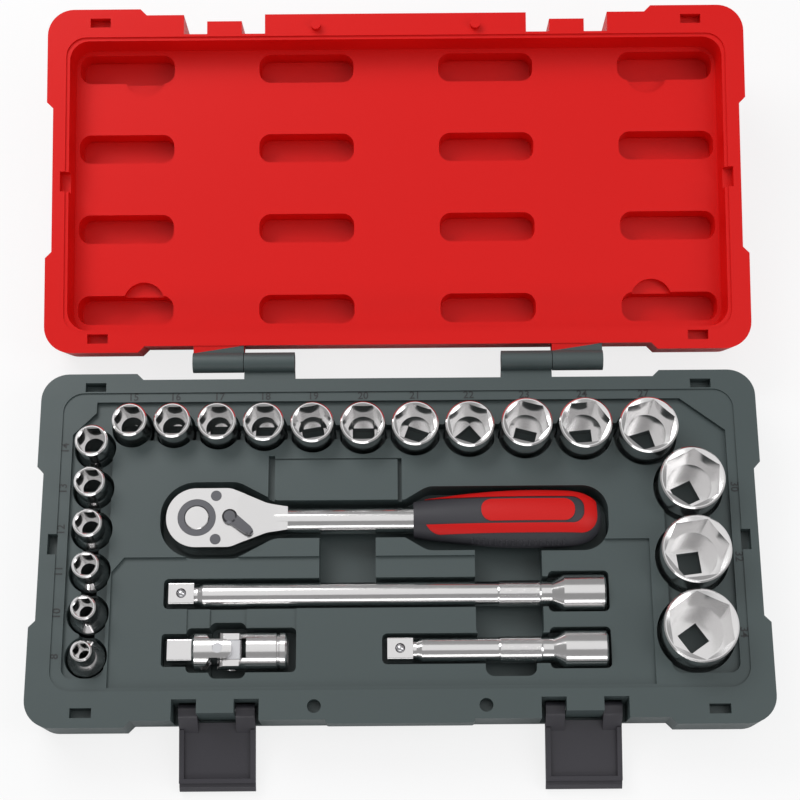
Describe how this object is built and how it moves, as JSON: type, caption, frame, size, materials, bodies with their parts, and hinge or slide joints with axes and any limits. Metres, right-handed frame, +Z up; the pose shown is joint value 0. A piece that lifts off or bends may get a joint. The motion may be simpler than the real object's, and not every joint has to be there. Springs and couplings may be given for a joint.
{
  "type": "socket wrench set in case",
  "caption": "Hinged moulded case with a tray of hexagon sockets, a reversible ratchet, extension bars and a universal joint; lid open, latches swung down.",
  "frame": {"origin": "middle of the base's flat underside", "axes": "+X to the right, +Y towards the hinge, +Z up"},
  "size_m": [0.422, 0.4651, 0.0855],
  "materials": {
    "case_base": "fine moulded grain, dark grey",
    "case_lid": "fine moulded grain, red",
    "latch": "smooth moulded, dark grey",
    "steel": "ground bright",
    "dark_steel": "dark phosphated",
    "chrome": "polished chrome plating",
    "grip_dark": "soft moulded, dark grey",
    "grip_red": "soft moulded, red"
  },
  "bodies": {
    "base": {"case_base": "case_base", "hinge_pins": "steel", "latch_pins": "steel"},
    "lid": {"case_lid": "case_lid"},
    "left_latch": {"left_latch": "latch"},
    "right_latch": {"right_latch": "latch"},
    "socket_08": {"socket_08": "chrome"},
    "socket_10": {"socket_10": "chrome"},
    "socket_11": {"socket_11": "chrome"},
    "socket_12": {"socket_12": "chrome"},
    "socket_13": {"socket_13": "chrome"},
    "socket_14": {"socket_14": "chrome"},
    "socket_15": {"socket_15": "chrome"},
    "socket_16": {"socket_16": "chrome"},
    "socket_17": {"socket_17": "chrome"},
    "socket_18": {"socket_18": "chrome"},
    "socket_19": {"socket_19": "chrome"},
    "socket_20": {"socket_20": "chrome"},
    "socket_21": {"socket_21": "chrome"},
    "socket_22": {"socket_22": "chrome"},
    "socket_23": {"socket_23": "chrome"},
    "socket_24": {"socket_24": "chrome"},
    "socket_27": {"socket_27": "chrome"},
    "socket_30": {"socket_30": "chrome"},
    "socket_32": {"socket_32": "chrome"},
    "socket_34": {"socket_34": "chrome"},
    "ratchet": {"ratchet_body": "chrome", "ratchet_cover": "chrome", "cover_screws": "dark_steel", "pawl_plunger": "steel", "pawl_spring": "steel", "grip_core": "grip_dark", "grip_band": "grip_red", "grip_panel": "grip_red"},
    "drive": {"drive_gear": "dark_steel"},
    "button": {"release_button": "chrome", "release_spring": "steel"},
    "drive_ball": {"drive_ball": "steel"},
    "lever": {"reverse_lever": "dark_steel", "reversing_pawl": "steel"},
    "long_extension": {"long_extension": "chrome"},
    "long_extension_ball": {"long_extension_ball": "steel", "long_extension_spring": "steel"},
    "short_extension": {"short_extension": "chrome"},
    "short_extension_ball": {"short_extension_ball": "steel", "short_extension_spring": "steel"},
    "universal": {"universal_drive_fork": "chrome"},
    "universal_ball": {"universal_ball": "steel", "universal_spring": "steel"},
    "universal_cross": {"universal_block": "steel", "universal_pins": "steel"},
    "universal_socket": {"universal_socket_fork": "chrome"}
  },
  "joints": [
    {"name": "lid_hinge", "type": "hinge", "parent": "base", "child": "lid", "pos_m": [0, 0.1119, 0.034], "axis": [-1, 0, 0], "range_deg": [-166.8, 0]},
    {"name": "left_latch_swing", "type": "hinge", "parent": "base", "child": "left_latch", "pos_m": [-0.1038, -0.0935, 0.021], "axis": [1, 0, 0], "range_deg": [-104, 0]},
    {"name": "right_latch_swing", "type": "hinge", "parent": "base", "child": "right_latch", "pos_m": [0.1038, -0.0935, 0.021], "axis": [1, 0, 0], "range_deg": [-104, 0]},
    {"name": "socket_08_lift", "type": "slide", "parent": "base", "child": "socket_08", "axis": [0, 0, 1], "range_m": [0, 0.06]},
    {"name": "socket_10_lift", "type": "slide", "parent": "base", "child": "socket_10", "axis": [0, 0, 1], "range_m": [0, 0.06]},
    {"name": "socket_11_lift", "type": "slide", "parent": "base", "child": "socket_11", "axis": [0, 0, 1], "range_m": [0, 0.06]},
    {"name": "socket_12_lift", "type": "slide", "parent": "base", "child": "socket_12", "axis": [0, 0, 1], "range_m": [0, 0.06]},
    {"name": "socket_13_lift", "type": "slide", "parent": "base", "child": "socket_13", "axis": [0, 0, 1], "range_m": [0, 0.06]},
    {"name": "socket_14_lift", "type": "slide", "parent": "base", "child": "socket_14", "axis": [0, 0, 1], "range_m": [0, 0.06]},
    {"name": "socket_15_lift", "type": "slide", "parent": "base", "child": "socket_15", "axis": [0, 0, 1], "range_m": [0, 0.06]},
    {"name": "socket_16_lift", "type": "slide", "parent": "base", "child": "socket_16", "axis": [0, 0, 1], "range_m": [0, 0.06]},
    {"name": "socket_17_lift", "type": "slide", "parent": "base", "child": "socket_17", "axis": [0, 0, 1], "range_m": [0, 0.06]},
    {"name": "socket_18_lift", "type": "slide", "parent": "base", "child": "socket_18", "axis": [0, 0, 1], "range_m": [0, 0.06]},
    {"name": "socket_19_lift", "type": "slide", "parent": "base", "child": "socket_19", "axis": [0, 0, 1], "range_m": [0, 0.06]},
    {"name": "socket_20_lift", "type": "slide", "parent": "base", "child": "socket_20", "axis": [0, 0, 1], "range_m": [0, 0.06]},
    {"name": "socket_21_lift", "type": "slide", "parent": "base", "child": "socket_21", "axis": [0, 0, 1], "range_m": [0, 0.06]},
    {"name": "socket_22_lift", "type": "slide", "parent": "base", "child": "socket_22", "axis": [0, 0, 1], "range_m": [0, 0.06]},
    {"name": "socket_23_lift", "type": "slide", "parent": "base", "child": "socket_23", "axis": [0, 0, 1], "range_m": [0, 0.06]},
    {"name": "socket_24_lift", "type": "slide", "parent": "base", "child": "socket_24", "axis": [0, 0, 1], "range_m": [0, 0.06]},
    {"name": "socket_27_lift", "type": "slide", "parent": "base", "child": "socket_27", "axis": [0, 0, 1], "range_m": [0, 0.06]},
    {"name": "socket_30_lift", "type": "slide", "parent": "base", "child": "socket_30", "axis": [0, 0, 1], "range_m": [0, 0.06]},
    {"name": "socket_32_lift", "type": "slide", "parent": "base", "child": "socket_32", "axis": [0, 0, 1], "range_m": [0, 0.06]},
    {"name": "socket_34_lift", "type": "slide", "parent": "base", "child": "socket_34", "axis": [0, 0, 1], "range_m": [0, 0.06]},
    {"name": "ratchet_lift", "type": "slide", "parent": "base", "child": "ratchet", "axis": [0, 0, 1], "range_m": [0, 0.06]},
    {"name": "drive_spin", "type": "hinge", "parent": "ratchet", "child": "drive", "pos_m": [-0.1166, 0.0152, 0.0285], "axis": [0, 0, 1], "continuous": true},
    {"name": "button_press", "type": "slide", "parent": "drive", "child": "button", "axis": [0, 0, -1], "range_m": [0, 0.0025], "stiffness_N_per_m": 400, "deforming": ["release_spring"]},
    {"name": "drive_ball_press", "type": "slide", "parent": "drive", "child": "drive_ball", "axis": [0, 1, 0], "range_m": [0, 0.0009], "stiffness_N_per_m": 300},
    {"name": "lever_flip", "type": "hinge", "parent": "ratchet", "child": "lever", "pos_m": [-0.0974, 0.0152, 0.0285], "axis": [0, 0, 1], "range_deg": [0, 75]},
    {"name": "long_extension_lift", "type": "slide", "parent": "base", "child": "long_extension", "axis": [0, 0, 1], "range_m": [0, 0.06]},
    {"name": "long_extension_ball_press", "type": "slide", "parent": "long_extension", "child": "long_extension_ball", "axis": [0, 0, -1], "range_m": [0, 0.0009], "stiffness_N_per_m": 300, "deforming": ["long_extension_spring"]},
    {"name": "short_extension_lift", "type": "slide", "parent": "base", "child": "short_extension", "axis": [0, 0, 1], "range_m": [0, 0.06]},
    {"name": "short_extension_ball_press", "type": "slide", "parent": "short_extension", "child": "short_extension_ball", "axis": [0, 0, -1], "range_m": [0, 0.0009], "stiffness_N_per_m": 300, "deforming": ["short_extension_spring"]},
    {"name": "universal_lift", "type": "slide", "parent": "base", "child": "universal", "axis": [0, 0, 1], "range_m": [0, 0.06]},
    {"name": "universal_ball_press", "type": "slide", "parent": "universal", "child": "universal_ball", "axis": [0, 0, 1], "range_m": [0, 0.0009], "stiffness_N_per_m": 300, "deforming": ["universal_spring"]},
    {"name": "universal_yaw", "type": "hinge", "parent": "universal", "child": "universal_cross", "pos_m": [-0.103, -0.061, 0.0265], "axis": [0, 0, 1], "range_deg": [-2, 2]},
    {"name": "universal_pitch", "type": "hinge", "parent": "universal_cross", "child": "universal_socket", "pos_m": [-0.0955, -0.061, 0.0265], "axis": [0, -1, 0], "range_deg": [0, 40]}
  ]
}
